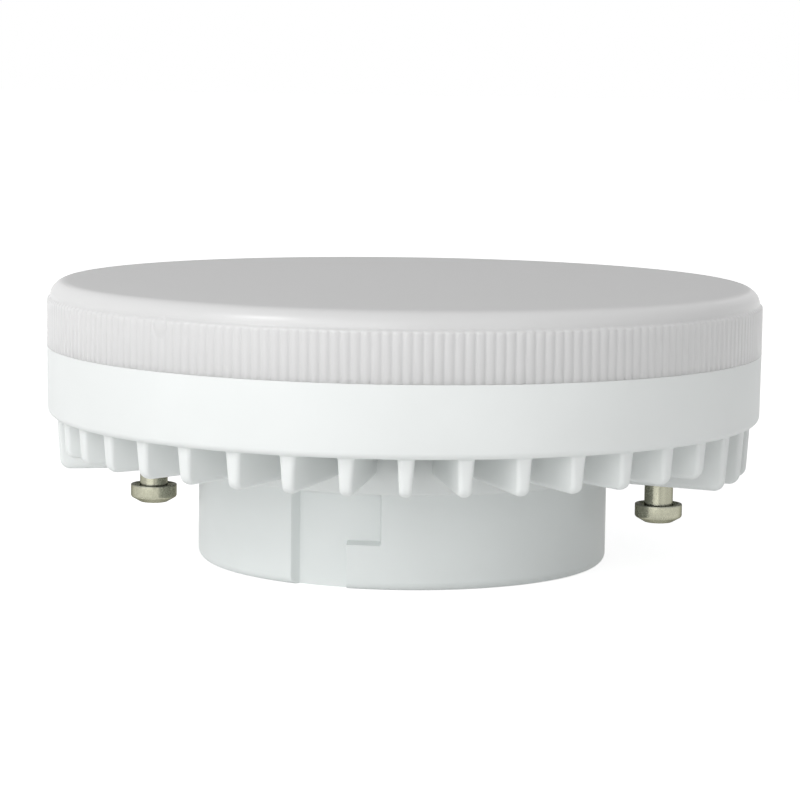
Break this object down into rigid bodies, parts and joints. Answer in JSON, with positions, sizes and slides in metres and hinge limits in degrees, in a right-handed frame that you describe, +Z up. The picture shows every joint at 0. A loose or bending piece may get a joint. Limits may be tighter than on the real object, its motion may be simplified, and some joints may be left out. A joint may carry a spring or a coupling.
{
  "type": "led cabinet light",
  "caption": "Round disc lamp for cabinet lighting: ribbed frosted diffuser, finned white housing, centre boss with bayonet slots and two turned contact pins",
  "frame": {"origin": "centre of the centre boss's flat bottom, which the lamp stands on", "axes": "+Z up through the diffuser, along the lamp's axis; X through the two contact pins; Y across them"},
  "size_m": [0.073, 0.073, 0.0295],
  "materials": {
    "frosted_diffuser": "frosted translucent white, moulded",
    "white_housing": "satin white, moulded",
    "white_cap": "satin white, moulded",
    "nickel_pins": "nickel-plated, turned",
    "tinned_tags": "tinned",
    "brown_insulation": "brown lead sleeve",
    "blue_insulation": "blue lead sleeve",
    "red_insulation": "red lead sleeve",
    "black_insulation": "black lead sleeve",
    "insulating_film": "natural polyester film",
    "spreader_aluminium": "rolled sheet",
    "thermal_silicone": "grey silicone",
    "white_solder_mask": "white solder mask",
    "led_phosphor": "white package with yellow phosphor",
    "plated_screws": "zinc-plated",
    "green_board": "green solder mask",
    "capacitor_sleeve": "shrink sleeve",
    "film_capacitor_case": "dipped case",
    "ferrite": "sintered ferrite",
    "copper_winding": "enamelled copper wire",
    "resistor_lacquer": "lacquered",
    "moulding_compound": "black moulding compound"
  },
  "bodies": {
    "root": {"base_cap": "white_cap", "bridge_rectifier": "moulding_compound", "bulk_capacitor": "capacitor_sleeve", "contact_pin_left": "nickel_pins", "contact_pin_right": "nickel_pins", "diffuser": "frosted_diffuser", "driver_board": "green_board", "driver_board_screws": "plated_screws", "driver_chip": "moulding_compound", "fusible_resistor": "resistor_lacquer", "heat_spreader": "spreader_aluminium", "housing": "white_housing", "inductor_coil": "copper_winding", "inductor_core": "ferrite", "input_capacitor": "film_capacitor_case", "input_lead_left": "brown_insulation", "input_lead_right": "blue_insulation", "insulating_sheet": "insulating_film", "led_01": "led_phosphor", "led_02": "led_phosphor", "led_03": "led_phosphor", "led_04": "led_phosphor", "led_05": "led_phosphor", "led_06": "led_phosphor", "led_07": "led_phosphor", "led_08": "led_phosphor", "led_09": "led_phosphor", "led_10": "led_phosphor", "led_11": "led_phosphor", "led_12": "led_phosphor", "led_13": "led_phosphor", "led_14": "led_phosphor", "led_15": "led_phosphor", "led_16": "led_phosphor", "led_17": "led_phosphor", "led_18": "led_phosphor", "led_board": "white_solder_mask", "led_board_screws": "plated_screws", "led_lead_minus": "black_insulation", "led_lead_plus": "red_insulation", "output_capacitor": "capacitor_sleeve", "output_diode": "moulding_compound", "sense_resistors": "moulding_compound", "tag_left": "tinned_tags", "tag_right": "tinned_tags", "thermal_pad": "thermal_silicone"}
  },
  "joints": []
}
